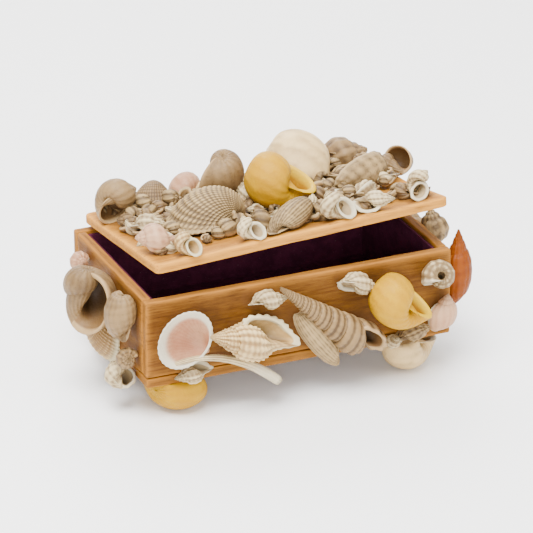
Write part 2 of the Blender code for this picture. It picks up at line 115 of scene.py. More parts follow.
def add_lamp(name, place, side, watts):
    data = bpy.data.lights.new(name, "AREA")
    data.shape = "SQUARE"
    data.size = side
    data.energy = watts
    lamp = put_in_scene(name, data)
    lamp.location = place
    lamp.rotation_euler = (AIM - Vector(place)).to_track_quat("-Z", "Y").to_euler()


for lamp_row in LAMPS:
    add_lamp(*lamp_row)

world = bpy.data.worlds.new("studio")
world.use_nodes = True
background = world.node_tree.nodes["Background"]
background.inputs["Color"].default_value = (1.0, 1.0, 1.0, 1.0)
background.inputs["Strength"].default_value = SURROUNDING
bpy.context.scene.world = world
print("lamps:", len(LAMPS))

# %% [markdown]
# Materials are trees of nodes as well. A small helper writes them: it adds a
# node, sets its values by name and links what it is given. The same helper
# serves Geometry Nodes, so one way of writing covers both.

# %% Helper for node trees
def sign(operation, swapped=False):
    """The method of Field that stands for one of the signs + - * / **."""
    def act(field, other):
        terms = (other, field) if swapped else (field, other)
        return field.recipe.math(operation, *terms)
    return act


class Field:
    """A number that one node hands to the next; signs add Math nodes."""

    def __init__(self, recipe, socket):
        self.recipe = recipe
        self.socket = socket

    __add__ = sign("ADD")
    __radd__ = sign("ADD", swapped=True)
    __sub__ = sign("SUBTRACT")
    __rsub__ = sign("SUBTRACT", swapped=True)
    __mul__ = sign("MULTIPLY")
    __rmul__ = sign("MULTIPLY", swapped=True)
    __truediv__ = sign("DIVIDE")
    __pow__ = sign("POWER")


class Recipe:
    """Writes a node tree, either of geometry or of a material."""

    def __init__(self, tree):
        self.tree = tree

    def add(self, kind, settings=None, **inputs):
        """Add a node; inputs are given by socket name, with _ for a space."""
        node = self.tree.nodes.new(kind)
        for key, value in (settings or {}).items():
            setattr(node, key, value)
        self.fill(node, **inputs)
        return node

    def fill(self, node, **inputs):
        for key, value in inputs.items():
            name = key.replace("_", " ")
            self.feed(next(s for s in node.inputs if s.name == name and s.enabled), value)

    def feed(self, socket, value):
        if isinstance(value, Field):
            value = value.socket
        if isinstance(value, bpy.types.NodeSocket):
            self.tree.links.new(value, socket)
        else:
            socket.default_value = value

    def out(self, node, name=None):
        live = [s for s in node.outputs if s.enabled and (name is None or s.name == name)]
        return Field(self, live[0])

    def math(self, operation, *terms):
        node = self.tree.nodes.new("ShaderNodeMath")
        node.operation = operation
        for socket, term in zip(node.inputs, terms):
            self.feed(socket, term)
        return Field(self, node.outputs[0])

    def cos(self, angle):
        return self.math("COSINE", angle)

    def sin(self, angle):
        return self.math("SINE", angle)

    def low(self, a, b):
        return self.math("MINIMUM", a, b)

    def high(self, a, b):
        return self.math("MAXIMUM", a, b)

    def exp(self, a):
        return self.math("EXPONENT", a)


print("signs that add a node:", ", ".join("+-*/"), "and **")

# %% [markdown]
# A sea shell grows by one rule: it adds to its lip while it turns about an
# axis, and each turn is a fixed number of times larger than the last. That is
# a logarithmic spiral, and it makes a turret, a whelk and a moon snail alike.
# A cockle follows the same rule with so fast a growth that less than one turn
# is enough, and a tusk is a sliver of a turn.
# So one Geometry Nodes tree grows them all. It takes a flat grid: one side of
# the grid runs along the growth, the other round the tube. The last rings turn
# in over the lip and run back inside, which gives the shell a true wall.

# %% Tree that grows a shell
OUTSIDE = 0.84          # share of the grid that makes the outside
LIP = 0.89              # from here on the grid runs back inside
CROWDING = 0.8          # below 1, rings lie closer together near the lip
LIP_ROLL = 0.06
RIB_SHARPNESS = 1.4
SHOULDER_AT, SHOULDER_WIDTH = math.radians(48), 0.08
CANAL_AT, CANAL_WIDTH = math.radians(-104), 0.07
FLARE_FADE = 14.0
LIP_FADE = 45.0
APEX_CLOSING = 30.0
SHELL_INPUTS = {
    "Turns": 4.0, "Growth": 2.0, "Distance": 0.5, "Wide": 0.9, "Tall": 1.0, "Drop": 1.5,
    "Lean": 0.2, "Ribs": 0.0, "Rib Height": 0.0, "Cords": 0.0, "Cord Height": 0.0,
    "Beads": 0.0, "Shoulder": 0.0, "Canal": 0.0, "Flare": 0.0, "Wall": 0.16, "Depth": 0.3,
    "Rough": 0.05, "Seed": 0.0, "Tint": 0.0, "Dark Inside": 1.0,
}


def add_input(tree, name, kind, default=None):
    socket = tree.interface.new_socket(name=name, in_out="INPUT", socket_type=kind)
    if default is not None:
        socket.default_value = default


def shell_tree():
    tree = bpy.data.node_groups.new("grow a shell", "GeometryNodeTree")
    tree.interface.new_socket(name="Geometry", in_out="OUTPUT", socket_type="NodeSocketGeometry")
    add_input(tree, "Rings", "NodeSocketInt", 120)
    add_input(tree, "Sides", "NodeSocketInt", 32)
    for name, default in SHELL_INPUTS.items():
        add_input(tree, name, "NodeSocketFloat", default)
    add_input(tree, "Material", "NodeSocketMaterial")
    recipe = Recipe(tree)
    given = recipe.add("NodeGroupInput")

    def size(name):
        return recipe.out(given, name)

    cos, sin, exp, low, high = recipe.cos, recipe.sin, recipe.exp, recipe.low, recipe.high
    grid = recipe.add("GeometryNodeMeshGrid", Size_X=1.0, Size_Y=1.0,
                      Vertices_X=size("Rings"), Vertices_Y=size("Sides"))
    place = recipe.add("GeometryNodeInputPosition")
    spot = recipe.add("ShaderNodeSeparateXYZ", Vector=recipe.out(place))
    along = recipe.out(spot, "X") + 0.5
    theta = (recipe.out(spot, "Y") + 0.5) * math.tau

    # Along the growth: out to the lip, over it, and back inside.
    grown = low(along / OUTSIDE, 1.0) ** CROWDING
    over = low(high((along - OUTSIDE) / (LIP - OUTSIDE), 0.0), 1.0)
    back = high((along - LIP) / (1 - LIP), 0.0)
    to_go = size("Turns") * (1.0 - grown)
    turns_left = to_go + back * size("Depth") - sin(over * math.pi) * size("Wall") * LIP_ROLL
    scale = size("Growth") ** (turns_left * -1.0)
    psi = math.pi + turns_left * math.tau

    # The outline of the tube: ribs across it, cords along it, a shoulder and a canal.
    outer = 1.0 - over
    facing = cos(theta) * 0.5 + 0.5
    rib = (cos(psi * size("Ribs")) * 0.5 + 0.5) ** RIB_SHARPNESS
    cord = cos(theta * size("Cords")) * 0.5 + 0.5
    bead = size("Beads")
    relief = rib * size("Rib Height") * facing * (1.0 - bead + bead * cord)
    relief = relief + cord * size("Cord Height") * (1.0 - bead + bead * rib)
    shoulder = exp((cos(theta - SHOULDER_AT) - 1.0) / SHOULDER_WIDTH) * size("Shoulder")
    canal = exp((cos(theta - CANAL_AT) - 1.0) / CANAL_WIDTH) * size("Canal")
    flare = exp(to_go * -FLARE_FADE) * size("Flare")
    closing = low(grown * APEX_CLOSING, 1.0) ** 0.5 * (1.0 - back ** 5.0)
    tube = (1.0 - over * size("Wall")) * closing
    tube = tube * (1.0 + relief * outer + shoulder + canal + flare)

    # Where the point stands, with the apex towards +X and the mouth towards +Z.
    across = scale * tube * size("Wide") * cos(theta)
    radius = scale * size("Distance") + across * cos(size("Lean"))
    aside = across * sin(size("Lean"))
    x = scale * (tube * size("Tall") * sin(theta) - size("Drop"))
    y = radius * cos(psi) - aside * sin(psi)
    z = radius * sin(psi) + aside * cos(psi)
    point = recipe.add("ShaderNodeCombineXYZ", X=x, Y=y, Z=z)

    # Facts for the material. They are stored before the points move, because
    # they are worked out from each point's place on the flat grid.
    most = size("Rib Height") + size("Cord Height")
    height = (relief / high(most, 0.001) - 0.5) * low(most * 12.0, 1.0) + 0.5
    fading = low(high(back * 6.0, (1.0 - scale) * 14.0 * low(back * 1000.0, 1.0)), 1.0)
    # Inside Shade sets how much the inner side counts as inside: the mouth colour and the painted
    # shade deep in the mouth; the open dish, whose inside shows, has little.
    facts = {"growth": to_go, "relief": height * high(outer, 1.0 - size("Dark Inside")),
             "inside": over * 0.25 + back * 0.75 * size("Dark Inside"),
             "tint": size("Tint"), "lip": exp(to_go * -LIP_FADE) * (1.0 - fading)}
    shape = recipe.out(grid, "Mesh")
    for name, value in facts.items():
        stored = recipe.add("GeometryNodeStoreNamedAttribute", {"data_type": "FLOAT"},
                            Geometry=shape, Name=name, Value=value)
        shape = recipe.out(stored)
    placed = recipe.add("GeometryNodeSetPosition", Geometry=shape, Position=recipe.out(point))
    bent = worn_surface(recipe, recipe.out(placed), size("Rough"), size("Seed"))
    merged = recipe.add("GeometryNodeMergeByDistance", Geometry=bent, Distance=1e-4)
    smooth = recipe.add("GeometryNodeSetShadeSmooth", Geometry=recipe.out(merged))
    real = recipe.add("GeometryNodeRealizeInstances", Geometry=recipe.out(smooth))
    dressed = recipe.add("GeometryNodeSetMaterial", Geometry=recipe.out(real),
                         Material=size("Material"))
    recipe.add("NodeGroupOutput", Geometry=recipe.out(dressed))
    return tree


def worn_surface(recipe, geometry, amount, seed):
    """Add small bumps and dents, so that no two shells are alike."""
    here = recipe.out(recipe.add("GeometryNodeInputPosition"))
    bumps = recipe.add("ShaderNodeTexNoise", {"noise_dimensions": "4D"}, Vector=here,
                       W=seed, Scale=2.2, Detail=3.0)
    offset = recipe.add("ShaderNodeVectorMath", {"operation": "SUBTRACT"})
    recipe.feed(offset.inputs[0], recipe.out(bumps, "Color"))
    offset.inputs[1].default_value = (0.5, 0.5, 0.5)
    scaled = recipe.add("ShaderNodeVectorMath", {"operation": "SCALE"})
    recipe.feed(scaled.inputs[0], recipe.out(offset))
    recipe.feed(scaled.inputs["Scale"], amount)
    moved = recipe.add("GeometryNodeSetPosition", Geometry=geometry, Offset=recipe.out(scaled))
    return recipe.out(moved)


SHELL_TREE = shell_tree()
print("tree of", len(SHELL_TREE.nodes), "nodes")

# %% [markdown]
# Each kind of shell is a set of numbers for that rule. A high growth per turn
# gives the globe of a moon snail, a low one the long spire of a turret. Sizes
# here are shares of the mouth's own size; the real length and width come in
# when the shell is placed.

# %% Kinds of shell
def kind_of_shell(rings, sides, turns, growth, distance, wide, tall, drop, **others):
    return dict(rings=rings, sides=sides, Turns=turns, Growth=growth, Distance=distance,
                Wide=wide, Tall=tall, Drop=drop, **others)


KINDS = {
    "moon": kind_of_shell(160, 40, 5.0, 1.8, 0.52, 0.84, 0.98, 1.65, Lean=0.25, Wall=0.15,
        Depth=0.35),
    "globe": kind_of_shell(190, 50, 4.6, 1.8, 0.54, 0.86, 1.0, 1.12, Wall=0.2, Depth=0.35,
        Rough=0.03),
    "gaping": kind_of_shell(150, 48, 3.6, 2.8, 0.44, 0.9, 1.0, 1.0, Lean=0.35, Wall=0.13,
        Depth=0.4),
    "ring": kind_of_shell(140, 43, 3.4, 2.6, 0.72, 0.7, 0.7, 1.5, Lean=0.1, Ribs=9,
        Rib_Height=0.03, Cords=7, Cord_Height=0.05, Flare=0.1, Wall=0.3, Depth=0.22, Rough=0.07),
    "cone": kind_of_shell(150, 44, 5.0, 1.7, 0.48, 0.8, 1.5, 2.9, Cords=14, Cord_Height=0.03,
        Rough=0.06),
    "button": kind_of_shell(170, 36, 3.8, 2.1, 0.62, 0.66, 0.66, 0.75, Lean=0.55, Ribs=10,
        Rib_Height=0.05, Cords=9, Cord_Height=0.05, Beads=0.6, Wall=0.24, Depth=0.35),
    "whelk": kind_of_shell(190, 40, 5.5, 1.62, 0.46, 0.86, 1.0, 2.9, Lean=0.25, Ribs=8,
        Rib_Height=0.3, Cords=11, Cord_Height=0.07, Shoulder=0.14, Canal=0.45, Flare=0.12,
        Wall=0.18),
    "great_whelk": kind_of_shell(300, 60, 6.2, 1.58, 0.48, 0.84, 1.15, 3.3, Lean=0.25, Ribs=12,
        Rib_Height=0.2, Cords=20, Cord_Height=0.06, Beads=0.35, Shoulder=0.16, Canal=0.55,
        Flare=0.12, Wall=0.13, Rough=0.04),
    "turret": kind_of_shell(420, 51, 11.5, 1.235, 0.66, 0.78, 1.2, 8.1, Cords=10, Cord_Height=0.15,
        Canal=0.1, Depth=0.35),
    "olive": kind_of_shell(150, 48, 4.2, 2.3, 0.36, 0.8, 1.9, 1.45, Cords=16, Cord_Height=0.025,
        Rough=0.06),
    "blade": kind_of_shell(420, 61, 4.2, 2.0, 0.38, 0.8, 2.2, 1.7, Ribs=26, Rib_Height=0.045,
        Cords=20, Cord_Height=0.012, Rough=0.1),
    "spindle": kind_of_shell(220, 36, 6.5, 1.55, 0.42, 0.78, 1.25, 4.2, Ribs=10, Rib_Height=0.12,
        Cords=9, Cord_Height=0.04, Canal=0.9),
    "chip": kind_of_shell(150, 34, 4.5, 1.8, 0.44, 0.84, 1.0, 1.9, Lean=0.3, Ribs=9,
        Rib_Height=0.1, Cords=8, Cord_Height=0.05, Canal=0.2, Wall=0.2, Rough=0.07),
    "cockle": kind_of_shell(170, 201, 0.74, 120, 0.99, 0.99, 1.03, 0.0, Lean=0.0, Ribs=56,
        Rib_Height=0.035, Cords=40, Cord_Height=0.06, Beads=0.7, Wall=0.1, Depth=0.22,
        Rough=0.015),
    "dish": kind_of_shell(90, 121, 0.74, 700, 0.995, 0.99, 1.03, 0.0, Lean=0.0, Ribs=30,
        Rib_Height=0.02, Cords=30, Cord_Height=0.025, Beads=0.3, Wall=0.1, Depth=0.6, Rough=0.02,
        Dark_Inside=0.1),
    "seed_whelk": kind_of_shell(56, 16, 3.2, 1.75, 0.46, 0.86, 1.0, 2.6, Lean=0.25, Ribs=6,
        Rib_Height=0.25, Canal=0.4, Flare=0.1, Wall=0.25, Depth=0.15, Rough=0.06),
    "seed_button": kind_of_shell(54, 15, 3.0, 2.1, 0.62, 0.66, 0.66, 0.85, Lean=0.55, Ribs=6,
        Rib_Height=0.18, Wall=0.28, Depth=0.15, Rough=0.08),
    "seed_chip": kind_of_shell(54, 15, 3.2, 1.9, 0.44, 0.84, 1.0, 1.9, Lean=0.3, Ribs=6,
        Rib_Height=0.22, Shoulder=0.15, Canal=0.2, Wall=0.25, Depth=0.15, Rough=0.1),
    "tusk": kind_of_shell(90, 28, 0.14, 300, 26, 1.0, 1.0, 0.0, Lean=0.73, Cords=9,
        Cord_Height=0.06, Wall=0.3, Depth=0.02),
}
print("kinds:", len(KINDS))

# %% [markdown]
# A tree needs an object to run on. We give it one with an empty mesh, set the
# inputs of its modifier, and keep what it makes as a plain mesh, since plain
# points can be measured, turned and moved with a few lines of arithmetic.

# %% Helpers for meshes
LEAST_DETAIL = 0.55
TINT_STEP = 2.4


def baked(name, carrier):
    """Keep what an object's modifiers make as a plain mesh, and drop the object."""
    graph = bpy.context.evaluated_depsgraph_get()
    mesh = bpy.data.meshes.new_from_object(carrier.evaluated_get(graph), depsgraph=graph)
    bpy.data.objects.remove(carrier, do_unlink=True)
    mesh.name = name
    return mesh


def bake_tree(name, tree, values):
    carrier = put_in_scene(name, bpy.data.meshes.new(name))
    run = carrier.modifiers.new("tree", "NODES")
    run.node_group = tree
    for item in tree.interface.items_tree:
        if item.in_out == "INPUT":
            run[item.identifier] = values[item.name]
    return baked(name, carrier)


def grown_mesh(name, kind, seed, material, detail=1.0):
    """Grow a shell; each cord is cut into the same number of sides."""
    row = KINDS[kind]
    detail = min(1.0, max(LEAST_DETAIL, detail))
    sides = int(row["sides"] * detail)
    cords = row.get("Cords", 0)
    if cords:
        sides = max(5 if cords < 30 else 4, round(sides / cords)) * cords + 1
    values = {"Rings": int(row["rings"] * detail), "Sides": sides,
              "Seed": float(seed), "Tint": math.sin(seed * TINT_STEP), "Material": material}
    for key, default in SHELL_INPUTS.items():
        if key not in values:
            values[key] = float(row.get(key.replace(" ", "_"), default))
    return bake_tree(name, SHELL_TREE, values)


def new_mesh(name, points, faces):
    mesh = bpy.data.meshes.new(name)
    mesh.from_pydata(points, [], faces)
    return mesh


def net_faces(rows, columns):
    """The squares between the points of a net, which is written row by row."""
    corners = [row * (columns + 1) + column for row in range(rows) for column in range(columns)]
    return [(k, k + columns + 1, k + columns + 2, k + 1) for k in corners]


def note(mesh, name, values):
    """Store a number on each point, for a material or a tree to read."""
    layer = mesh.attributes.new(name, "FLOAT", "POINT")
    layer.data.foreach_set("value", np.array(values, np.float32))


def read_points(mesh):
    points = np.empty(len(mesh.vertices) * 3, np.float32)
    mesh.vertices.foreach_get("co", points)
    return points.reshape(-1, 3).astype(float)


def write_points(mesh, points):
    mesh.vertices.foreach_set("co", np.asarray(points, np.float32).ravel())
    mesh.update()


def extent(points):
    return points.max(0) - points.min(0)


def turn_points(points, matrix):
    return points @ np.array(matrix.to_3x3()).T


print("settings of a shell:", len(SHELL_INPUTS))

# %% [markdown]
# Sea shell is chalk with a thin satin skin. Its colour comes in soft patches,
# follows the lines of growth, is paler on ribs that the sea has rubbed, and
# turns smooth and warm inside the mouth. Painted shade darkens the grooves,
# and darker painted shade the inside of the mouth deep in. The tree stored
# those facts on each point as attributes, so the material can read them, and
# the pattern stays on the shell however it is turned.

# %% Shell materials
def ramp(recipe, value, low, high):
    """0 below low, 1 above high, and smooth between."""
    node = recipe.add("ShaderNodeMapRange", {"interpolation_type": "SMOOTHSTEP"},
                      Value=value, From_Min=low, From_Max=high)
    return recipe.out(node, "Result")


def mix_colour(recipe, share, first, second):
    node = recipe.add("ShaderNodeMix", {"data_type": "RGBA"})
    recipe.feed(node.inputs["Factor"], share)
    for socket, value in zip([s for s in node.inputs if s.type == "RGBA"], (first, second)):
        if isinstance(value, tuple):
            value = (*value, 1.0)
        recipe.feed(socket, value)
    return Field(recipe, next(s for s in node.outputs if s.type == "RGBA"))


def noise_value(recipe, where, scale, detail=3.0, roughness=0.55):
    node = recipe.add("ShaderNodeTexNoise", Vector=where, Scale=scale, Detail=detail,
                      Roughness=roughness)
    return recipe.out(node)


def attribute(recipe, name):
    return recipe.out(recipe.add("ShaderNodeAttribute", {"attribute_name": name}), "Fac")


def new_material(name):
    material = bpy.data.materials.new(name)
    material.use_nodes = True
    recipe = Recipe(material.node_tree)
    shader = material.node_tree.nodes["Principled BSDF"]
    where = recipe.out(recipe.add("ShaderNodeTexCoord"), "Object")
    return material, recipe, shader, where


def add_bump(recipe, shader, height, distance):
    bump = recipe.add("ShaderNodeBump", Height=height, Distance=distance, Strength=1.0)
    recipe.fill(shader, Normal=recipe.out(bump))


def shell_material(name, light, dark, groove_shade_colour, mouth, lip, roughness, gloss, dirt_and_shade_amount):
    material, recipe, shader, where = new_material(name)
    relief = attribute(recipe, "relief")
    growth = attribute(recipe, "growth")
    inside = attribute(recipe, "inside")
    tint = attribute(recipe, "tint")
    patches = noise_value(recipe, where, 130.0)
    grain = noise_value(recipe, where, 1100.0, 4.0, 0.7)
    lines = recipe.sin(growth * 95.0 + patches * 9.0) * 0.5 + 0.5
    tone = patches * 1.2 - 0.45 + relief * 0.6 + tint * 0.14 + lines * 0.14
    colour = mix_colour(recipe, ramp(recipe, tone, 0.1, 0.85), dark, light)
    dirt_and_groove_shade = ramp(recipe, grain * 0.9 - relief * 0.35 - tint * 0.05, 0.30, 0.50) * dirt_and_shade_amount
    # Painted shade: the groove colour darkens the low parts between ribs and cords, in one mix with
    # the dirt speckles.
    groove_shade_mask = 1.0 - ramp(recipe, relief + grain * 0.2 - 0.1, 0.02, 0.42)
    dirt_and_groove_shade = recipe.high(dirt_and_groove_shade, groove_shade_mask * (1.0 - recipe.low(inside * 8.0, 1.0)) * dirt_and_shade_amount * 1.05)
    colour = mix_colour(recipe, dirt_and_groove_shade, colour, groove_shade_colour)
    faded = ramp(recipe, patches + lines * 0.1 + relief * 0.3, 0.4, 0.8) * 0.6
    within = mix_colour(recipe, faded, mouth, light)
    colour = mix_colour(recipe, ramp(recipe, inside, 0.1, 0.45), colour, within)
    edge = ramp(recipe, attribute(recipe, "lip"), 0.25, 0.8) * 0.85
    colour = mix_colour(recipe, edge, colour, lip)
    # Painted shade deep inside the mouth: the groove colour, darker still.
    painted_mouth_shade = ramp(recipe, inside, 0.35, 0.85) * 0.9
    colour = mix_colour(recipe, painted_mouth_shade, colour, tuple(c * 0.4 for c in groove_shade_colour))
    recipe.fill(shader, Base_Color=colour, Roughness=grain * 0.25 + roughness - 0.12,
                Specular_IOR_Level=gloss, Subsurface_Weight=0.08,
                Subsurface_Radius=(1.0, 0.7, 0.5), Subsurface_Scale=1 * MM)
    add_bump(recipe, shader, grain * 0.7 + lines * 0.4 + patches, 0.0003)
    return material


# Colours in light, in shade, in the grooves (painted shade there, also
# darkened for the painted shade deep in the mouth), in the mouth and of the lip;
# then roughness, gloss, and how much dirt speckles it and painted shade
# darkens its grooves.
SHELL_COLOURS = {
    "shell_white": ((0.60, 0.475, 0.265), (0.27, 0.182, 0.083), (0.12, 0.065, 0.024),
                    (0.401, 0.277, 0.141), (0.593, 0.515, 0.354), 0.5, 0.25, 0.55),
    "shell_cream": ((0.68, 0.48, 0.22), (0.28, 0.16, 0.052), (0.187, 0.092, 0.03),
                    (0.48, 0.294, 0.099), (0.587, 0.507, 0.306), 0.42, 0.25, 0.35),
    "shell_grey": ((0.38, 0.255, 0.110), (0.14, 0.084, 0.032), (0.045, 0.024, 0.009),
                   (0.267, 0.154, 0.058), (0.38, 0.261, 0.125), 0.55, 0.25, 0.65),
    "shell_tan": ((0.24, 0.148, 0.060), (0.11, 0.062, 0.024), (0.048, 0.023, 0.007),
                  (0.16, 0.077, 0.023), (0.405, 0.261, 0.119), 0.48, 0.25, 0.55),
    # The yellow finish's mouth colour is its own orange-yellow darkened with painted shade.
    "shell_yellow": ((0.50, 0.275, 0.002), (0.41, 0.200, 0.001), (0.28, 0.13, 0.002),
                     (0.26, 0.10, 0.003), (0.56, 0.35, 0.015), 0.36, 0.12, 0.1),
    "shell_pink": ((0.518, 0.307, 0.173), (0.364, 0.172, 0.086), (0.196, 0.086, 0.038),
                   (0.46, 0.16, 0.085), (0.6, 0.56, 0.42), 0.4, 0.3, 0.3),
    "shell_orange": ((0.20, 0.044, 0.001), (0.12, 0.020, 0.001), (0.07, 0.014, 0.002),
                     (0.233, 0.039, 0.003), (0.33, 0.10, 0.015), 0.4, 0.15, 0.25),
}
SHELL_MATERIALS = {slot: shell_material(slot, *row) for slot, row in SHELL_COLOURS.items()}
print("shell materials:", len(SHELL_MATERIALS))

# %% [markdown]
# The maker glued each shell at its own slant. We repeat that slant from the
# measured part: where the tip points in its face, how far it rises out of the
# face, and how the shell is rolled about itself. Each row starts with the name
# of the solid, whose place the shell takes over.

# %% Rows of shells: solid, kind, finish, length and width in mm, heading, rise, roll
LID_SHELLS = [
    ("lid_big_cockle", "cockle", "grey", 29, 30, -25, 4, 0),
    ("lid_yellow_moon_snail", "globe", "yellow", 23, 22, 131, 29, -10),
    ("lid_cream_moon_snail", "globe", "cream", 26, 23.5, 140, 25, 160),
    ("lid_upright_snail", "gaping", "tan", 20, 17, -105, 58, 20),
    ("lid_grey_olive", "olive", "grey", 25, 12.5, 25, 8, -90),
    ("lid_left_moon_snail", "moon", "tan", 17, 14.5, 15, 10, 85),
    ("lid_ribbed_blade", "blade", "grey", 23, 10, 34, 10, 180),
    ("lid_tan_cockle", "cockle", "tan", 17.5, 17.5, 60, 14, 0),
    ("lid_open_mouth_snail", "ring", "white", 12, 12.5, 110, 55, 0),
    ("lid_pale_snail", "moon", "pink", 14, 12.5, 100, 20, 170),
    ("lid_brown_snail", "chip", "tan", 18, 15, -12, 16, 180),
    ("lid_dark_mouth_snail", "gaping", "tan", 13, 11.5, 105, 20, -80),
    ("lid_grey_spindle", "spindle", "grey", 22, 7, 18, 8, 90),
    ("lid_ring_snail", "ring", "white", 10, 9.5, 100, 50, 0),
    ("lid_white_whelk", "whelk", "white", 16, 9.5, 35, 6, -60),
    ("lid_front_whelk", "whelk", "white", 15, 8, -32, 0, 40),
    ("lid_corner_snail", "ring", "white", 12, 9.5, 20, 25, 60),
    ("lid_knobby_whelk", "whelk", "white", 16, 9.5, -45, 4, 120),
    ("lid_pinkish_snail", "chip", "pink", 13.5, 10, 165, 3, 90),
    ("lid_cream_snail", "ring", "cream", 10.5, 9, 80, 45, 10),
    ("lid_small_snail", "chip", "white", 11, 8, 60, 30, 180),
]
FRONT_SHELLS = [
    ("front_great_whelk", "great_whelk", "cream", 34, 16, 163, 3, 15),
    ("front_yellow_moon_snail", "globe", "yellow", 21, 20, 135, -45, 58),
    ("front_turret", "turret", "tan", 46.5, 14.2, 140, 0, -40),
    ("front_open_clam", "dish", "pink", 20, 21, -35, 0, 0),
    ("front_tusk", "tusk", "white", 40, 3.8, 165, 0, 0),
    ("front_ribbed_blade", "blade", "grey", 27, 9.5, 127, 0, 180),
    ("front_ring_snail", "button", "white", 12, 12, -60, -55, 0),
    ("front_rim_whelk", "whelk", "white", 14, 8.5, 0, 0, 60),
    ("front_knobby_whelk", "whelk", "white", 15.5, 9.5, -20, 0, 30),
    ("front_low_chip", "chip", "grey", 13, 7, 14, 0, 0),
    ("front_pink_snail", "moon", "pink", 14, 9.5, 80, 0, 160),
    ("front_small_whelk", "whelk", "white", 14, 8, 184, 0, 40),
]
LEFT_SHELLS = [
    ("left_open_mouth_snail", "gaping", "tan", 21, 21, 90, -15, 10),
    ("left_cowrie", "olive", "tan", 18, 12.5, 95, 0, 180),
    ("left_cream_clam", "cockle", "cream", 19, 20, 120, 0, 0),
    ("left_brown_snail", "chip", "tan", 9, 8, 30, 10, 90),
    ("left_white_snail", "chip", "white", 12, 10, 150, 0, 60),
    ("left_rim_chip", "chip", "pink", 10, 7.5, 20, 0, 90),
]
RIGHT_SHELLS = [
    ("right_orange_olive", "cone", "orange", 27, 10, 88, 0, 100),
    ("right_rim_snail", "chip", "grey", 14, 11, 70, 0, 120),
    ("right_cockle", "cockle", "cream", 19, 19, 90, 0, 0),
    ("right_moon_snail", "moon", "tan", 18, 15, 60, 10, 90),
]
BACK_SHELLS = [
    ("back_cockle", "cockle", "grey", 20, 21, 90, 0, 0),
    ("back_whelk", "whelk", "cream", 24, 13, 20, 0, 60),
    ("back_moon_snail", "moon", "cream", 18, 15, 110, 8, 40),
]
FEET = [
    ("foot_front_left", "yellow", 200),
    ("foot_front_right", "cream", 150),
    ("foot_back_left", "cream", 70),
    ("foot_back_right", "tan", 20),
]
SHELLS = {"lid": LID_SHELLS, "front": FRONT_SHELLS, "left": LEFT_SHELLS,
          "right": RIGHT_SHELLS, "back": BACK_SHELLS}
print("shells:", sum(map(len, SHELLS.values())), "and", len(FEET), "feet")

# %% [markdown]
# The lid is tilted, and its board is warped like a propeller, so "up from the
# lid" differs from place to place. This cell works out the directions of each
# face: along it, up it, and out of it.

# %% Directions of the faces
HINGE = Vector(frame["joints"][0]["pos_m"])
LID_TILT = math.radians(6.5)
LID_LENGTH = 104.8 * MM
LID_DEPTH = 65.4 * MM
LID_LEFT_INSET = 4.2 * MM
LID_WARP = 6.1 * MM
LID_TURN = Matrix.Rotation(-LID_TILT, 3, "X")
FACES = {
    "front": ((1, 0, 0), (0, 0, 1)),
    "back": ((-1, 0, 0), (0, 0, 1)),
    "left": ((0, -1, 0), (0, 0, 1)),
    "right": ((0, 1, 0), (0, 0, 1)),
}


def warp(along, from_hinge):
    return LID_WARP * (along / LID_LENGTH) * (from_hinge / LID_DEPTH)


def axes_of(along, up):
    """A matrix whose columns run along the face, up it and out of it."""
    along = Vector(along).normalized()
    out = along.cross(Vector(up)).normalized()
    return Matrix((along, out.cross(along), out)).transposed()


def lid_axes(along, from_hinge):
    """The lid's directions at a place on it."""
    return LID_TURN @ axes_of((1, 0, warp(1.0, from_hinge)), (0, 1, -warp(along, 1.0)))


def face_axes(face, node):
    if face != "lid":
        return axes_of(*FACES[face])
    low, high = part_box(node)
    flat = LID_TURN.transposed() @ ((low + high) / 2 - HINGE)
    return lid_axes(flat.x - LID_LEFT_INSET, -flat.y)


def slant(heading, rise, roll):
    return (Matrix.Rotation(math.radians(heading), 3, "Z")
            @ Matrix.Rotation(math.radians(-rise), 3, "Y")
            @ Matrix.Rotation(math.radians(roll), 3, "X"))


print("lid leans", round(math.degrees(LID_TILT), 1), "degrees")

# %% [markdown]
# Now every shell is grown, scaled to its length and width, slanted, and moved
# to its solid: centred on it along the face, and pressed a little into the
# board, where the glue would hold it. Small shells get fewer rings, since
# nobody can see more.

# %% Grow and place the shells
SUNK = 0.35 * MM
DISH_LIFT = 0.9 * MM
FULL_DETAIL_LENGTH = 22
VALVES = ("cockle", "dish")
TUSK_TURN = 25.9
FOOT_HIDDEN = 1.35      # a foot is this much taller, before its top is pressed flat
PIECES = {"box": [], "lid": []}


def as_laid(kind, points):
    """A valve grows beak inwards; lay it with its beak to +X and its mouth down."""
    if kind in VALVES:
        points = turn_points(points, Matrix.Rotation(math.radians(-90), 3, "Z"))
    if kind == "cockle":
        points = turn_points(points, Matrix.Rotation(math.radians(180), 3, "X"))
    if kind == "tusk":
        points = turn_points(points, Matrix.Rotation(math.radians(-90), 3, "X")
                             @ Matrix.Rotation(math.radians(-TUSK_TURN), 3, "Y")
                             @ Matrix.Rotation(math.radians(-90), 3, "Z"))
    return points


def to_size(kind, points, length, width):
    points = points - (points.max(0) + points.min(0)) / 2
    size = extent(points)
    across = width / max(size[1], size[2])
    if kind == "tusk":
        across = length / size[0]
    return points * np.array([length / size[0], across, across]) * MM


def seat(kind, points, node, axes):
    """Centre the shell on its solid along the face, and rest it on the board."""
    axes = np.array(axes)
    own, target = points @ axes, read_points(NODES[node].data) @ axes
    shift = (target.max(0) + target.min(0)) / 2 - (own.max(0) + own.min(0)) / 2
    shift[2] = target[:, 2].min() - own[:, 2].min() - SUNK + (DISH_LIFT if kind == "dish" else 0)
    return points + shift @ axes.T


def keep_piece(name, mesh, body, slot, *nodes):
    piece = put_in_scene(name, mesh)
    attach(piece, body)
    if nodes:
        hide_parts(*nodes)
    PIECES[body].append(piece)


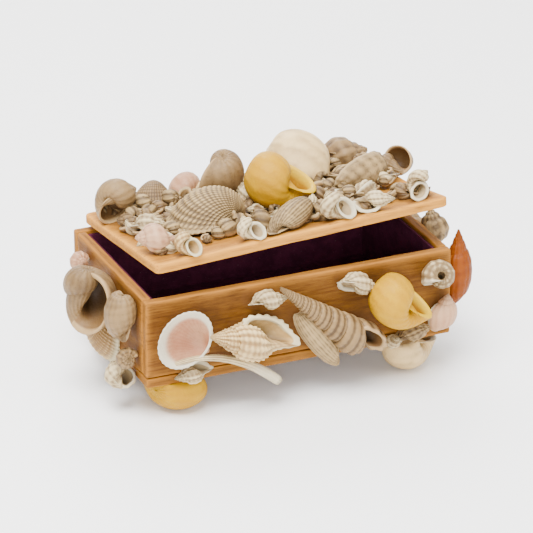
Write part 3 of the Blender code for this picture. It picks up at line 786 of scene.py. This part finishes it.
def add_shell(face, seed, node, kind, finish, length, width, heading, rise, roll):
    slot = "shell_" + finish
    mesh = grown_mesh(node, kind, seed, SHELL_MATERIALS[slot], length / FULL_DETAIL_LENGTH)
    points = to_size(kind, as_laid(kind, read_points(mesh)), length, width)
    axes = face_axes(face, node)
    points = turn_points(points, axes @ slant(heading, rise, roll))
    write_points(mesh, seat(kind, points, node, axes))
    keep_piece("shell_" + node, mesh, "lid" if face == "lid" else "box", slot, node)


def add_foot(seed, node, finish, heading):
    """A globe on its back, pressed against the floor board mouth up."""
    slot = "shell_" + finish
    mesh = grown_mesh(node, "globe", seed, SHELL_MATERIALS[slot])
    points = turn_points(read_points(mesh), Matrix.Rotation(math.radians(heading), 3, "Z"))
    low, high = (np.array(corner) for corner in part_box(node))
    points = (points - points.min(0)) / extent(points)
    size = (high - low) * np.array([1, 1, FOOT_HIDDEN])
    points = low + points * size
    points[:, 2] = np.minimum(points[:, 2], high[2] + SUNK)
    write_points(mesh, points)
    keep_piece("shell_" + node, mesh, "box", slot, node)


seed = 0
for face, rows in SHELLS.items():
    for row in rows:
        seed += 1
        add_shell(face, seed, *row)
for row in FEET:
    seed += 1
    add_foot(seed, *row)
faces = {body: sum(len(p.data.polygons) for p in made) for body, made in PIECES.items()}
print("shells grown:", seed, "faces:", faces)

# %% [markdown]
# The boards are thin softwood, stained orange-brown and varnished, about
# 3 mm thick, with rounded, rubbed edges. A board is a block cut into a fine
# net, because the net lets us round its edges, let the surface wander a
# little, and raise the glue that squeezed out round every shell.

# %% Boards
BOARD_CELL = 1.0 * MM
EDGE_ROUND = 0.7 * MM
LID_CORNER = 2.4 * MM
GLUE_REACH = 3.2 * MM
GLUE_HEIGHT = 0.5 * MM
EDGE_TICKS = (0.0, 0.2, 0.5)
WOOD_WANDER = (90, 0.12 * MM)


def ticks(low, high):
    """Places of the cuts along one side, close together near both ends."""
    edge = min(EDGE_ROUND, (high - low) / 4)
    count = max(2, round((high - low - 2 * edge) / BOARD_CELL) + 1)
    near = [share * edge for share in EDGE_TICKS]
    inner = list(np.linspace(low + edge, high - edge, count))
    return [low + n for n in near] + inner + [high - n for n in reversed(near)]


def netted_block(name, low, high, skip_top=False):
    """A closed block whose faces are nets of small squares."""
    cuts = [ticks(a, b) for a, b in zip(low, high)]
    index, points, faces = {}, [], []

    def corner(key):
        if key not in index:
            index[key] = len(points)
            points.append([cuts[axis][key[axis]] for axis in range(3)])
        return index[key]

    for axis in range(3):
        first, second = [a for a in range(3) if a != axis]
        for end in (0, len(cuts[axis]) - 1):
            if skip_top and axis == 2 and end:
                continue
            for i in range(len(cuts[first]) - 1):
                for j in range(len(cuts[second]) - 1):
                    square = []
                    for di, dj in ((0, 0), (1, 0), (1, 1), (0, 1)):
                        key = [0, 0, 0]
                        key[axis], key[first], key[second] = end, i + di, j + dj
                        square.append(corner(tuple(key)))
                    faces.append(square if (end > 0) == (axis != 1) else square[::-1])
    return new_mesh(name, points, faces)


def round_off(points, low, high, radius, sides):
    """Draw the corners in to a round, seen along the axes that aren't in sides."""
    low, high = np.array(low)[sides], np.array(high)[sides]
    near = np.clip(points[:, sides], low + radius, high - radius)
    away = points[:, sides] - near
    longest = np.abs(away).max(1)
    length = np.linalg.norm(away, axis=1)
    factor = np.divide(longest, length, out=np.ones_like(length), where=length > 1e-9)
    points[:, sides] = near + away * factor[:, None]
    return points


# Vector noise is shifted by a seed, which comes from the clock unless it is set.
WANDER_SEED = 5
noise.seed_set(WANDER_SEED)


def wander(points, scale, amount):
    """Add a slow, even unevenness, as of wood worked by hand."""
    moves = np.array([noise.noise_vector(Vector(p) * scale) for p in points])
    return points + moves * amount


def tree_of_solids(rows):
    """A search tree of the solids that a face's rows of shells name."""
    points, faces = [], []
    for row in rows:
        mesh = NODES[row[0]].data
        start = len(points)
        points += [vert.co.copy() for vert in mesh.vertices]
        faces += [[start + i for i in poly.vertices] for poly in mesh.polygons]
    return BVHTree.FromPolygons(points, faces)


def add_glue(mesh, points, outward, tree):
    """Raise a bead of glue round the shells and note its strength on the points."""
    strength = np.zeros(len(points))
    outward = Vector(outward)
    facing = set()
    for poly in mesh.polygons:
        if poly.normal.dot(outward) > 0.8:
            facing.update(poly.vertices)
    for i in facing:
        spot, _, _, distance = tree.find_nearest(Vector(points[i]), GLUE_REACH)
        if spot is None:
            continue
        ragged = 0.35 + 1.1 * (noise.noise(Vector(points[i]) * 320) * 0.5 + 0.5)
        strength[i] = max(0.0, 1 - distance / (GLUE_REACH * ragged))
    smooth = strength ** 2 * (3 - 2 * strength)
    note(mesh, "glue", strength)
    return points + smooth[:, None] * np.array(outward) * GLUE_HEIGHT


def finish_smooth(mesh):
    mesh.polygons.foreach_set("use_smooth", [True] * len(mesh.polygons))
    mesh.update()


print("board cells of", BOARD_CELL / MM, "mm")

# %% [markdown]
# The wood runs along each board. Its grain is a noise that is stretched many
# times along the board, with darker late wood, a few stains, pale rubbed
# edges, and dark matt glue wherever the beads of glue were noted.

# %% Wood and its glue
GRAIN_STRETCH = 14.0
RUBBED_WIDTH = 2.2 * MM
GLUE_COLOUR = (0.12, 0.046, 0.009)


def wood_material(name, grain_axis, light, dark):
    material, recipe, shader, where = new_material(name)
    stretch = [GRAIN_STRETCH] * 3
    stretch[grain_axis] = 1.0
    mapping = recipe.add("ShaderNodeMapping", Vector=where, Scale=tuple(stretch))
    fibre = noise_value(recipe, recipe.out(mapping), 85.0, 8.0, 0.72)
    bands = noise_value(recipe, recipe.out(mapping), 18.0, 2.0)
    stains = noise_value(recipe, where, 55.0, 3.0)
    pores = noise_value(recipe, recipe.out(mapping), 260.0, 3.0, 0.7)
    tone = fibre * 1.1 + bands * 0.6 - 0.35
    colour = mix_colour(recipe, ramp(recipe, tone, 0.2, 0.8), dark, light)
    stain = tuple(c * 0.45 for c in dark)
    colour = mix_colour(recipe, ramp(recipe, stains, 0.5, 0.75) * 0.7, colour, stain)
    colour = mix_colour(recipe, ramp(recipe, pores, 0.54, 0.70) * 0.55, colour, stain)
    glue = attribute(recipe, "glue")
    edge = ramp(recipe, glue + stains * 0.3 - 0.15, 0.0, 0.5)
    colour = mix_colour(recipe, edge * 0.8, colour, GLUE_COLOUR)
    rubbed = attribute(recipe, "rubbed")
    colour = mix_colour(recipe, rubbed * ramp(recipe, fibre, 0.3, 0.5) * 0.8, colour,
                        tuple(min(1.0, c * 1.6) for c in light))
    recipe.fill(shader, Base_Color=colour, Roughness=0.58 + fibre * 0.15, Specular_IOR_Level=0.12)
    add_bump(recipe, shader, fibre * 0.8 - pores * 0.6, 0.2 * MM)
    return material


WOOD_LIGHT = (0.228, 0.092, 0.012)
WOOD_DARK = (0.092, 0.031, 0.004)
# Painted light: the lid's wood is the box's wood made lighter and yellower, standing in for the
# stronger light that falls on the lid from above.
LID_LIT_LIGHT = (0.44, 0.195, 0.028)
LID_LIT_DARK = (0.26, 0.095, 0.011)
WOOD = {"along": wood_material("wood_along", 0, WOOD_LIGHT, WOOD_DARK),
        "across": wood_material("wood_across", 1, WOOD_LIGHT, WOOD_DARK),
        "lid": wood_material("wood_lid", 0, LID_LIT_LIGHT, LID_LIT_DARK)}


def note_rubbed(mesh, points, low, high):
    """Strength of wear: near two faces of the block at once means an edge."""
    gaps = np.minimum(points - np.array(low), np.array(high) - points)
    gaps.sort(axis=1)
    note(mesh, "rubbed", np.clip(1 - gaps[:, 1] / RUBBED_WIDTH, 0, 1))


def add_board(node, low, high, outward, wood, rows, place=None, corner=0.0):
    mesh = netted_block(node, low, high)
    points = read_points(mesh)
    note_rubbed(mesh, points, low, high)
    points = round_off(points, low, high, EDGE_ROUND, [0, 1, 2])
    if corner:
        points = round_off(points, low, high, corner, [0, 1])
    if place:
        points = place(points)
    write_points(mesh, points)
    points = add_glue(mesh, points, outward, tree_of_solids(rows))
    write_points(mesh, wander(points, *WOOD_WANDER))
    finish_smooth(mesh)
    mesh.materials.append(WOOD[wood])
    body = "lid" if node == "lid_board" else "box"
    keep_piece("worn_" + node, mesh, body, "board_wood", node)


BOARDS = (
    ("floor_board", (0, 0, -1), "along", FEET),
    ("front_board", (0, -1, 0), "along", FRONT_SHELLS),
    ("back_board", (0, 1, 0), "along", BACK_SHELLS),
    ("left_board", (-1, 0, 0), "across", LEFT_SHELLS),
    ("right_board", (1, 0, 0), "across", RIGHT_SHELLS),
)
for node, outward, wood, rows in BOARDS:
    add_board(node, *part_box(node), outward, wood, rows)
print("boards:", sum(len(p.data.polygons) for p in PIECES["box"] if "board" in p.name), "faces")

# %% [markdown]
# The lid is one more board. We cut it flat in its own frame, with rounded
# corners, then give it the warp and the tilt, so that its net and its grain
# bend with it.

# %% Lid board
LID_UNDERSIDE = 0.75 * MM
LID_THICKNESS = 3.3 * MM
LID_LOW = (LID_LEFT_INSET, -LID_DEPTH, LID_UNDERSIDE)
LID_HIGH = (LID_LEFT_INSET + LID_LENGTH, 0.0, LID_UNDERSIDE + LID_THICKNESS)


def on_lid(points):
    """From the lid's flat frame to its warped, tilted place."""
    points = points.copy()
    points[:, 2] += LID_WARP * (points[:, 0] - LID_LEFT_INSET) / LID_LENGTH * -points[:, 1] / LID_DEPTH
    return points @ np.array(LID_TURN).T + np.array(HINGE)


add_board("lid_board", LID_LOW, LID_HIGH, LID_TURN @ Vector((0, 0, 1)), "lid", LID_SHELLS,
          place=on_lid, corner=LID_CORNER)
drawn, solid = (read_points(thing.data).max(0) for thing in (PIECES["lid"][-1], NODES["lid_board"]))
print("lid board off its solid by at most", round(float(abs(drawn - solid).max()) / MM, 2), "mm")

# %% [markdown]
# The velvet is glued over the whole inside: a tray in the box and a panel
# under the lid. Its pile swallows light seen straight on and catches it at a
# slant, which is what sheen does in a shader. A little lint lies on it.

# %% Velvet
VELVET = 0.8 * MM
VELVET_WANDER = (260, 0.16 * MM)
LINING_INSET = 4.8 * MM
GLUE_GAP = 0.3 * MM


def velvet_material():
    material, recipe, shader, where = new_material("velvet")
    crush = noise_value(recipe, where, 160.0, 4.0, 0.6)
    pile = noise_value(recipe, where, 2600.0, 2.0)
    lint = noise_value(recipe, where, 1500.0, 2.0, 0.6)
    colour = mix_colour(recipe, ramp(recipe, crush, 0.35, 0.65), (0.060, 0.011, 0.027),
                        (0.094, 0.016, 0.040))
    colour = mix_colour(recipe, ramp(recipe, lint, 0.70, 0.74) * 0.35, colour, (0.30, 0.22, 0.20))
    recipe.fill(shader, Base_Color=colour, Roughness=0.95, Sheen_Weight=0.08, Sheen_Roughness=0.4,
                Sheen_Tint=(0.45, 0.10, 0.22, 1.0), Specular_IOR_Level=0.1)
    add_bump(recipe, shader, pile * 0.7 + crush * 0.5, 0.3 * MM)
    return material


VELVET_MATERIAL = velvet_material()


def solidified(mesh, thickness):
    """Give an open surface a wall, inwards, and keep the result as a mesh."""
    carrier = put_in_scene(mesh.name, mesh)
    wall = carrier.modifiers.new("wall", "SOLIDIFY")
    wall.thickness = thickness
    wall.offset = -1.0
    wall.use_even_offset = True
    return baked(mesh.name, carrier)


def add_velvet(node, mesh, points, body):
    write_points(mesh, wander(points, *VELVET_WANDER))
    finish_smooth(mesh)
    mesh.materials.append(VELVET_MATERIAL)
    keep_piece("velvet_" + node, mesh, body, "velvet_lining", node)


tray = solidified(netted_block("box_lining", *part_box("box_lining"), skip_top=True), VELVET)
add_velvet("box_lining", tray, read_points(tray), "box")
top = LID_UNDERSIDE - GLUE_GAP
panel_low = (LID_LOW[0] + LINING_INSET, LID_LOW[1] + LINING_INSET, top - VELVET)
panel_high = (LID_HIGH[0] - LINING_INSET, -LINING_INSET, top)
panel = netted_block("lid_lining", panel_low, panel_high)
add_velvet("lid_lining", panel, on_lid(read_points(panel)), "lid")
print("velvet faces:", len(tray.polygons), len(panel.polygons))

# %% [markdown]
# The hinge is a strip of thin tan leather, glued to the back of the box below
# the rim and to the back edge of the lid above it. It is one strip that bends,
# so it is drawn as one.

# %% Leather hinge strip
LEATHER = 0.55 * MM
STRIP_CELL = 0.9 * MM
PUCKER, PUCKER_REACH = 0.5 * MM, 0.8 * MM
RIPPLE = 0.25 * MM


def leather_material():
    material, recipe, shader, where = new_material("leather")
    pebbles = recipe.out(recipe.add("ShaderNodeTexVoronoi", Vector=where, Scale=900.0), "Distance")
    wear = noise_value(recipe, where, 140.0, 4.0)
    colour = mix_colour(recipe, ramp(recipe, wear, 0.3, 0.7), (0.10, 0.042, 0.009),
                        (0.21, 0.100, 0.026))
    recipe.fill(shader, Base_Color=colour, Roughness=wear * 0.3 + 0.45, Specular_IOR_Level=0.2)
    add_bump(recipe, shader, pebbles * 0.8 + wear * 0.4, 0.3 * MM)
    return material


def add_hinge_strip():
    low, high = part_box("hinge_strip_lower")
    lid_low, lid_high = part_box("hinge_strip_upper")
    bottom, upper = low.z, lid_high.z
    back = (low.y + high.y) / 2
    lean = (lid_low.y + lid_high.y) / 2 - back
    columns = round((high.x - low.x) / STRIP_CELL)
    rows = round((upper - bottom) / (STRIP_CELL / 2))
    points = []
    for row in range(rows + 1):
        z = bottom + (upper - bottom) * row / rows
        share = max(0.0, (z - HINGE.z) / (upper - HINGE.z))
        pucker = PUCKER * math.exp(-((z - HINGE.z) / PUCKER_REACH) ** 2)
        for column in range(columns + 1):
            x = low.x + (high.x - low.x) * column / columns
            ripple = noise.noise(Vector((x * 160, z * 90, 3.0))) * RIPPLE
            y = back + LEATHER / 2 + lean * share + pucker + ripple * 0.5
            points.append((x, y, z + ripple))
    faces = [(d, a, b, c) for a, b, c, d in net_faces(rows, columns)]
    strip = solidified(new_mesh("hinge_strip", points, faces), LEATHER)
    finish_smooth(strip)
    strip.materials.append(leather_material())
    piece = put_in_scene("hinge_strip", strip)
    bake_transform(piece)
    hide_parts("hinge_strip_lower", "hinge_strip_upper")
    return len(strip.polygons)


print("leather faces:", add_hinge_strip())

# %% [markdown]
# The photograph shows the gaps between the big shells packed with tiny ones.
# Geometry Nodes scatter them: the tree takes a thin net over the board, keeps
# the points where there is room, and puts a small shell on each, turned and
# sized at random from a fixed seed.

# %% Scatter tree for the tiny shells
TINY_LEAN = 0.6
SCATTER_INPUTS = (
    ("Ground", "NodeSocketObject", None),
    ("Shell", "NodeSocketObject", None),
    ("Spacing", "NodeSocketFloat", 5 * MM),
    ("Density", "NodeSocketFloat", 40000.0),
    ("Smallest", "NodeSocketFloat", 0.65),
    ("Largest", "NodeSocketFloat", 1.45),
    ("Seed", "NodeSocketInt", 1),
    ("Material", "NodeSocketMaterial", None),
)


def scatter_tree():
    tree = bpy.data.node_groups.new("scatter tiny shells", "GeometryNodeTree")
    tree.interface.new_socket(name="Geometry", in_out="OUTPUT", socket_type="NodeSocketGeometry")
    for row in SCATTER_INPUTS:
        add_input(tree, *row)
    recipe = Recipe(tree)
    given = recipe.add("NodeGroupInput")

    def size(name):
        return recipe.out(given, name)

    ground, shell = (recipe.add("GeometryNodeObjectInfo", {"transform_space": "ORIGINAL"},
                                Object=size(name)) for name in ("Ground", "Shell"))
    room = recipe.add("GeometryNodeInputNamedAttribute", {"data_type": "FLOAT"}, Name="room")
    spread = recipe.add("GeometryNodeDistributePointsOnFaces", {"distribute_method": "POISSON"},
                        Mesh=recipe.out(ground, "Geometry"), Distance_Min=size("Spacing"),
                        Density_Max=size("Density"), Density_Factor=recipe.out(room, "Attribute"),
                        Seed=size("Seed"))
    turn = recipe.add("FunctionNodeRandomValue", {"data_type": "FLOAT_VECTOR"}, Seed=size("Seed"),
                      Min=(-TINY_LEAN, -TINY_LEAN, 0.0), Max=(TINY_LEAN, TINY_LEAN, math.tau))
    scale = recipe.add("FunctionNodeRandomValue", {"data_type": "FLOAT"}, Min=size("Smallest"),
                       Max=size("Largest"), Seed=size("Seed"))
    aligned = recipe.add("FunctionNodeRotateRotation", {"rotation_space": "LOCAL"},
                         Rotation=recipe.out(spread, "Rotation"), Rotate_By=recipe.out(turn, "Value"))
    placed = recipe.add("GeometryNodeInstanceOnPoints", Points=recipe.out(spread, "Points"),
                        Instance=recipe.out(shell, "Geometry"), Rotation=recipe.out(aligned),
                        Scale=recipe.out(scale, "Value"))
    real = recipe.add("GeometryNodeRealizeInstances", Geometry=recipe.out(placed, "Instances"))
    dressed = recipe.add("GeometryNodeSetMaterial", Geometry=recipe.out(real),
                         Material=size("Material"))
    recipe.add("NodeGroupOutput", Geometry=recipe.out(dressed))
    return tree


SCATTER_TREE = scatter_tree()
print("scatter tree of", len(SCATTER_TREE.nodes), "nodes")

# %% [markdown]
# Three kinds of tiny shell go on the lid, each with its own seed. The net
# covers the board short of its edges, and holds 1 where a tiny shell has room
# and 0 where a big one stands or where the board is bare.

# %% Tiny shells on the lid
TINY_SIZE = 7.0
TINY_SUNK = 0.5 * MM
TINY_SEED = 11
TINY_KINDS = (
    ("seed_whelk", "shell_white", 0.62),
    ("seed_button", "shell_grey", 0.9),
    ("seed_chip", "shell_tan", 0.75),
)
NET_STEPS = 60
NEAREST, FURTHEST = 0.8 * MM, 6 * MM
LEFT_MARGIN, RIGHT_MARGIN, FRONT_MARGIN, BACK_MARGIN = 5 * MM, 4 * MM, 8 * MM, 3 * MM


def tiny_shell(kind, slot, width_share, seed):
    """A small, coarse shell, lying on the plane z = 0 of its own frame."""
    mesh = grown_mesh("tiny_" + kind, kind, seed, SHELL_MATERIALS[slot])
    points = to_size(kind, read_points(mesh), TINY_SIZE, TINY_SIZE * width_share)
    points[:, 2] -= points[:, 2].min() + TINY_SUNK
    write_points(mesh, points)
    return put_in_scene("tiny_" + kind, mesh)


def room_net(name, corner, along, up, tree):
    """A net over a face, with 1 where a tiny shell has room and 0 elsewhere."""
    shares = [step / NET_STEPS for step in range(NET_STEPS + 1)]
    points = [Vector(corner) + Vector(along) * i + Vector(up) * j for i in shares for j in shares]
    mesh = new_mesh(name, points, net_faces(NET_STEPS, NET_STEPS))
    room = []
    for point in points:
        spot, _, _, distance = tree.find_nearest(point, FURTHEST)
        room.append(0.0 if spot is None or distance < NEAREST else 1.0)
    note(mesh, "room", room)
    return put_in_scene(name, mesh)


front, top = LID_LOW[1] + FRONT_MARGIN, LID_HIGH[2]
corner, right, rear = on_lid(np.array([(LID_LOW[0] + LEFT_MARGIN, front, top),
                                       (LID_HIGH[0] - RIGHT_MARGIN, front, top),
                                       (LID_LOW[0] + LEFT_MARGIN, -BACK_MARGIN, top)]))
ground = room_net("lid_room", corner, right - corner, rear - corner, tree_of_solids(LID_SHELLS))
for seed, (kind, slot, width_share) in enumerate(TINY_KINDS, TINY_SEED):
    source = tiny_shell(kind, slot, width_share, seed)
    values = {name: default for name, _, default in SCATTER_INPUTS}
    values.update(Ground=ground, Shell=source, Seed=seed, Material=SHELL_MATERIALS[slot])
    mesh = bake_tree("tiny_lid_" + kind, SCATTER_TREE, values)
    bpy.data.objects.remove(source, do_unlink=True)
    keep_piece("tiny_lid_" + kind, mesh, "lid", slot)
    print("tiny", kind, len(mesh.polygons), "faces")
bpy.data.objects.remove(ground, do_unlink=True)

# %% [markdown]
# A few more shells of middle size can be told apart in the photograph, each
# between bigger neighbours. They have no solid of their own, so each row gives
# its place on the face as shares of the face's length and height.

# %% Small shells in the gaps
GAP_SEED = 100
GAP_SHELLS = [
    ("lid", "whelk", "white", 13, 9, 0.475, 0.61, 118, 30, 20),
    ("lid", "chip", "grey", 9, 7, 0.47, 0.70, 60, 50, 60),
    ("lid", "moon", "white", 9, 8, 0.56, 0.85, 140, 30, 120),
    ("lid", "whelk", "cream", 11, 7, 0.37, 0.86, 60, 20, 40),
    ("lid", "moon", "cream", 9, 8, 0.28, 0.66, 100, 30, 160),
    ("lid", "chip", "tan", 8, 6.5, 0.12, 0.60, 170, 20, 60),
    ("lid", "whelk", "grey", 12, 7, 0.66, 0.62, 12, 20, 180),
    ("lid", "moon", "tan", 9, 8, 0.90, 0.70, 80, 30, 150),
    ("lid", "whelk", "white", 10, 6, 0.60, 0.25, 60, 30, 40),
    ("lid", "chip", "white", 9, 7, 0.66, 0.16, 200, 15, 60),
    ("front", "ring", "white", 8, 7, 0.80, 0.06, 80, 35, 20),
    ("front", "chip", "grey", 13, 6.5, 0.87, 0.13, 15, 10, 150),
]


def face_spot(face, u, v):
    """A point on the outer face of a board, and the face's directions there."""
    if face == "lid":
        flat = np.array([(LID_LEFT_INSET + u * LID_LENGTH, -(1 - v) * LID_DEPTH, LID_HIGH[2])])
        return on_lid(flat)[0], lid_axes(u * LID_LENGTH, -flat[0][1])
    low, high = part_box("front_board")
    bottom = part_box("floor_board")[0].z
    spot = (low.x + u * (high.x - low.x), low.y, bottom + v * (high.z - bottom))
    return np.array(spot), face_axes(face, "front_board")


for count, row in enumerate(GAP_SHELLS):
    face, kind, finish, length, width, u, v, heading, rise, roll = row
    slot = "shell_" + finish
    name = "gap_%s_%02d" % (face, count)
    detail = length / FULL_DETAIL_LENGTH
    mesh = grown_mesh(name, kind, GAP_SEED + count, SHELL_MATERIALS[slot], detail)
    points = to_size(kind, as_laid(kind, read_points(mesh)), length, width)
    spot, axes = face_spot(face, u, v)
    points = turn_points(points, slant(heading, rise, roll))
    points[:, 2] -= points[:, 2].min() + SUNK
    write_points(mesh, turn_points(points, axes) + spot)
    keep_piece(name, mesh, "lid" if face == "lid" else "box", slot)
print("shells in the gaps:", len(GAP_SHELLS))

# %% [markdown]
# The floor is a plain pale sheet that curves up far behind the box, so no
# edge shows in the picture.

# %% Floor, size and finish
FLOOR_SIDE = 2.5
FLOOR_FAR = 1.2
FLOOR_CURVE = 0.6
FLOOR_TOP = 2.4


def add_floor():
    profile = [(-FLOOR_FAR, 0.0), (FLOOR_FAR, 0.0)]
    for a in np.linspace(0.15, math.pi / 2, 12):
        profile.append((FLOOR_FAR + FLOOR_CURVE * math.sin(a), FLOOR_CURVE * (1 - math.cos(a))))
    profile.append((FLOOR_FAR + FLOOR_CURVE, FLOOR_TOP))
    points = [(x, y, z) for y, z in profile for x in (-FLOOR_SIDE, FLOOR_SIDE)]
    starts = range(0, len(points) - 2, 2)
    mesh = new_mesh("floor", points, [(i, i + 1, i + 3, i + 2) for i in starts])
    finish_smooth(mesh)
    material, recipe, shader, where = new_material("floor_paper")
    colour = mix_colour(recipe, noise_value(recipe, where, 6.0), (0.93, 0.925, 0.92),
                        (0.96, 0.955, 0.95))
    recipe.fill(shader, Base_Color=colour, Roughness=0.55)
    mesh.materials.append(material)
    put_in_scene("floor", mesh)


add_floor()
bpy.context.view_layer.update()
total = sum(len(p.data.polygons) for made in PIECES.values() for p in made)
print("pieces:", sum(map(len, PIECES.values())), "faces:", total)
